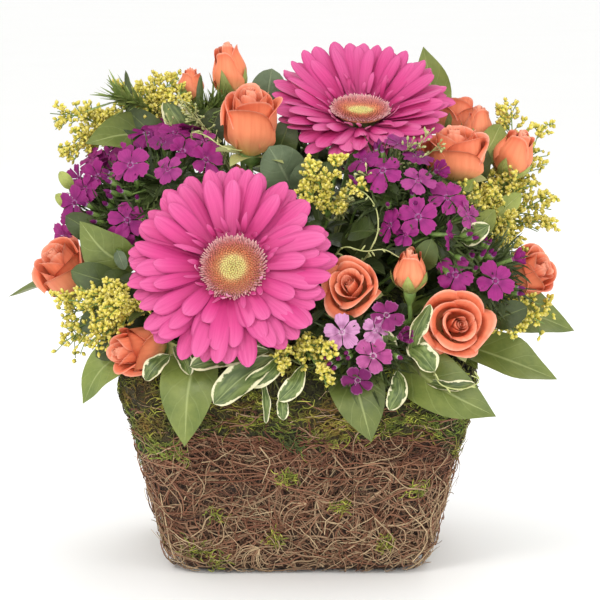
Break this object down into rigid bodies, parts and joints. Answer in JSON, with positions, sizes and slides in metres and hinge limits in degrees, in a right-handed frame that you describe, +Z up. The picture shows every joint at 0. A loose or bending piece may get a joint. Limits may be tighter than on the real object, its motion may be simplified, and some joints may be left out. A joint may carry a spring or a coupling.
{
  "type": "flower arrangement in a square vine basket",
  "caption": "Low flower arrangement of gerberas, spray roses, sweet william, goldenrod and broad leaves in a moss-topped square basket of tangled vine.",
  "frame": {"origin": "centre of the basket's flat underside, where it rests", "axes": "+Z up; -Y is the front, where the large open gerbera faces; +X is to the right seen from the front"},
  "size_m": [0.2796, 0.2219, 0.2535],
  "materials": {
    "flower_stem": "satin",
    "gerbera_petal": "satin",
    "gerbera_disc": "matte",
    "rose_petal": "satin",
    "dianthus_purple": "satin",
    "dianthus_pale": "satin",
    "goldenrod_flower": "matte",
    "salal_leaf": "satin",
    "pittosporum_leaf": "satin",
    "fir_needle": "satin",
    "vine": "matte",
    "liner_film": "satin",
    "foam": "matte",
    "moss": "matte"
  },
  "bodies": {
    "root": {"basket_liner": "liner_film", "dianthus_front": "dianthus_pale", "dianthus_left": "dianthus_purple", "dianthus_rear": "dianthus_purple", "dianthus_right": "dianthus_purple", "dianthus_right_low": "dianthus_purple", "dianthus_upper_left": "dianthus_purple", "dianthus_upper_right": "dianthus_purple", "fir_upper_left": "fir_needle", "floral_foam": "foam", "gerbera_front_disc": "gerbera_disc", "gerbera_front_rays": "gerbera_petal", "gerbera_front_stem": "flower_stem", "gerbera_top_disc": "gerbera_disc", "gerbera_top_rays": "gerbera_petal", "gerbera_top_stem": "flower_stem", "goldenrod_front": "goldenrod_flower", "goldenrod_left": "goldenrod_flower", "goldenrod_rear": "goldenrod_flower", "goldenrod_right": "goldenrod_flower", "goldenrod_right_low": "goldenrod_flower", "goldenrod_top": "goldenrod_flower", "goldenrod_upper_left": "goldenrod_flower", "moss_collar": "moss", "pittosporum_front": "pittosporum_leaf", "pittosporum_right": "pittosporum_leaf", "rose_centre_bud": "rose_petal", "rose_centre_open": "rose_petal", "rose_left_low": "rose_petal", "rose_left_side": "rose_petal", "rose_rear_left": "rose_petal", "rose_rear_right": "rose_petal", "rose_right_open": "rose_petal", "rose_right_side": "rose_petal", "rose_stems_centre": "flower_stem", "rose_stems_left": "flower_stem", "rose_stems_rear": "flower_stem", "rose_stems_right": "flower_stem", "rose_stems_upper_left": "flower_stem", "rose_stems_upper_right": "flower_stem", "rose_upper_left_bud": "rose_petal", "rose_upper_left_open": "rose_petal", "rose_upper_left_small": "rose_petal", "rose_upper_right_back": "rose_petal", "rose_upper_right_bud": "rose_petal", "rose_upper_right_open": "rose_petal", "rose_upper_right_tall": "rose_petal", "salal_front_left": "salal_leaf", "salal_front_right": "salal_leaf", "salal_left": "salal_leaf", "salal_left_centre": "salal_leaf", "salal_left_low": "salal_leaf", "salal_rear_left": "salal_leaf", "salal_rear_right": "salal_leaf", "salal_right": "salal_leaf", "salal_right_front": "salal_leaf", "salal_right_low": "salal_leaf", "salal_top": "salal_leaf", "salal_upper_left": "salal_leaf", "vine_basket": "vine"}
  },
  "joints": []
}
